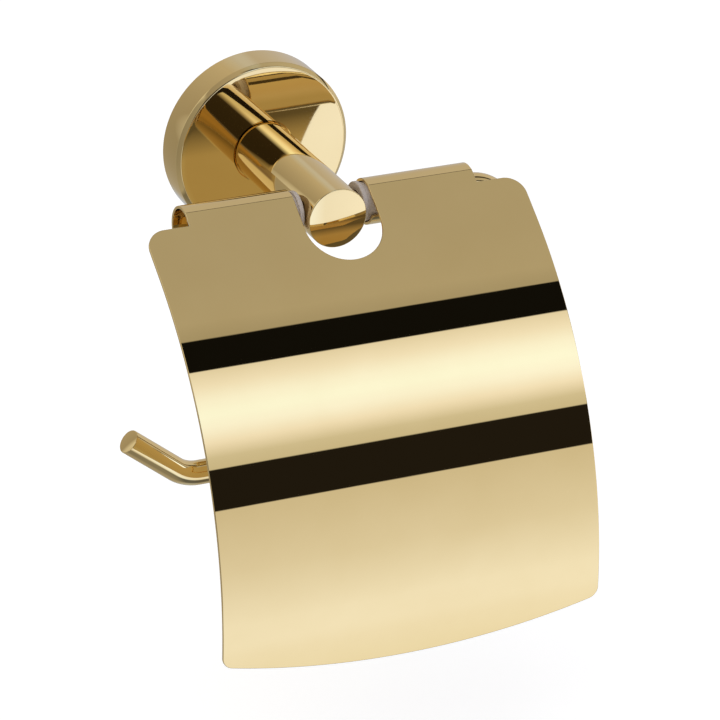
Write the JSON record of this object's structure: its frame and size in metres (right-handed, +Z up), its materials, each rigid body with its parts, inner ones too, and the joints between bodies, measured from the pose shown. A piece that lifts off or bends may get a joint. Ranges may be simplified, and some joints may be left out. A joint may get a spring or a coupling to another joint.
{
  "type": "toilet paper holder",
  "caption": "Wall-mounted holder with a round flange, a plain round arm, an open bent rod for the roll and a curved sheet lid that swings on the rod.",
  "frame": {"origin": "centre of the wall bracket's back face, on the arm's axis, in the plane of the wall", "axes": "+Y into the wall, -Y out of the wall along the arm, +X to the right as one faces the wall, +Z up"},
  "size_m": [0.124, 0.1236, 0.1379],
  "materials": {
    "flange_gold": "mirror-polished gold plate",
    "arm_gold": "mirror-polished gold plate",
    "rod_gold": "polished gold plate",
    "lid_gold": "mirror-polished gold plate on sheet",
    "bush_plastic": "moulded, satin",
    "bracket_steel": "zinc plated",
    "screw_steel": "bright steel"
  },
  "bodies": {
    "holder": {"wall_bracket": "bracket_steel", "rosette": "flange_gold", "rosette_grub_screw": "screw_steel", "arm": "arm_gold", "arm_screw": "screw_steel", "arm_washer": "screw_steel", "arm_dowel_pin": "screw_steel", "rod_grub_screw": "screw_steel", "roll_rod": "rod_gold", "left_sleeve": "bush_plastic", "right_sleeve": "bush_plastic"},
    "lid": {"lid": "lid_gold"}
  },
  "joints": [
    {"name": "lid_hinge", "type": "hinge", "parent": "holder", "child": "lid", "pos_m": [0, -0.05497, 0], "axis": [-1, 0, 0], "range_deg": [-43, 170]}
  ]
}
